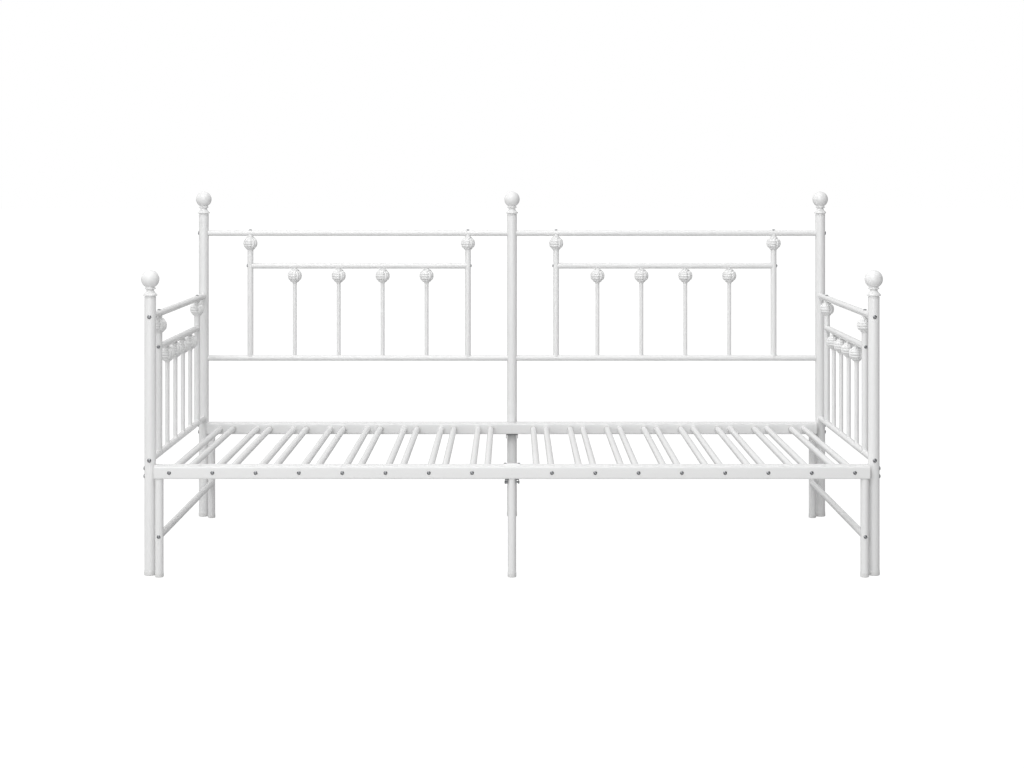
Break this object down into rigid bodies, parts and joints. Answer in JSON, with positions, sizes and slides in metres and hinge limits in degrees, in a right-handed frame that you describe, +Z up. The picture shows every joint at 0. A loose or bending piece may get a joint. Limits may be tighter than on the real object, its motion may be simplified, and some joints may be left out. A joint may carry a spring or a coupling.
{
  "type": "daybed",
  "caption": "White steel-tube daybed with ball finials, a spindle back and arms, and a slatted base whose front half slides out on its own legs to double the bed's depth.",
  "frame": {"origin": "on the floor, at the middle of the overall box seen from above", "axes": "+X along the bed to the right seen from the front, +Y from the front to the back rest, +Z up"},
  "size_m": [2.0874, 0.9941, 1.072],
  "materials": {
    "white_powder_coat": "smooth white powder coat, semi-gloss",
    "zinc_plate": "zinc-plated steel",
    "white_plastic": "moulded plastic of the foot glides and end plugs"
  },
  "bodies": {
    "fixed_frame": {"post_front_left": "white_powder_coat", "finial_front_left": "white_powder_coat", "post_front_right": "white_powder_coat", "finial_front_right": "white_powder_coat", "post_back_left": "white_powder_coat", "finial_back_left": "white_powder_coat", "post_back_center": "white_powder_coat", "finial_back_center": "white_powder_coat", "post_back_right": "white_powder_coat", "finial_back_right": "white_powder_coat", "back_top_rail_left": "white_powder_coat", "back_upright_left_inner": "white_powder_coat", "back_upright_left_outer": "white_powder_coat", "back_spindle_panel_left": "white_powder_coat", "back_top_rail_right": "white_powder_coat", "back_upright_right_inner": "white_powder_coat", "back_upright_right_outer": "white_powder_coat", "back_spindle_panel_right": "white_powder_coat", "arm_top_rail_left": "white_powder_coat", "arm_upright_left_front": "white_powder_coat", "arm_upright_left_back": "white_powder_coat", "arm_spindle_panel_left": "white_powder_coat", "arm_top_rail_right": "white_powder_coat", "arm_upright_right_front": "white_powder_coat", "arm_upright_right_back": "white_powder_coat", "arm_spindle_panel_right": "white_powder_coat", "deck_half_left": "white_powder_coat", "deck_half_right": "white_powder_coat", "deck_joint_sleeve": "white_powder_coat"},
    "pull_out_frame": {"pullout_front_rail_left": "white_powder_coat", "pullout_rear_rail_left": "white_powder_coat", "pullout_front_rail_right": "white_powder_coat", "pullout_rear_rail_right": "white_powder_coat", "pullout_front_joiner": "zinc_plate", "pullout_rear_joiner": "zinc_plate", "pullout_slat_left_1": "white_powder_coat", "pullout_slat_left_2": "white_powder_coat", "pullout_slat_left_3": "white_powder_coat", "pullout_slat_left_4": "white_powder_coat", "pullout_slat_left_5": "white_powder_coat", "pullout_slat_left_6": "white_powder_coat", "pullout_slat_left_7": "white_powder_coat", "pullout_slat_left_8": "white_powder_coat", "pullout_slat_right_1": "white_powder_coat", "pullout_slat_right_2": "white_powder_coat", "pullout_slat_right_3": "white_powder_coat", "pullout_slat_right_4": "white_powder_coat", "pullout_slat_right_5": "white_powder_coat", "pullout_slat_right_6": "white_powder_coat", "pullout_slat_right_7": "white_powder_coat", "pullout_slat_right_8": "white_powder_coat", "pullout_leg_front_left": "white_powder_coat", "pullout_leg_rear_left": "white_powder_coat", "pullout_stretcher_left": "white_powder_coat", "pullout_leg_front_right": "white_powder_coat", "pullout_leg_rear_right": "white_powder_coat", "pullout_stretcher_right": "white_powder_coat", "pullout_center_leg": "white_powder_coat", "pullout_front_fork": "zinc_plate", "pullout_rear_fork": "zinc_plate"}
  },
  "joints": [
    {"name": "pull_out", "type": "slide", "parent": "fixed_frame", "child": "pull_out_frame", "axis": [0, -1, 0], "range_m": [0, 0.87]}
  ]
}
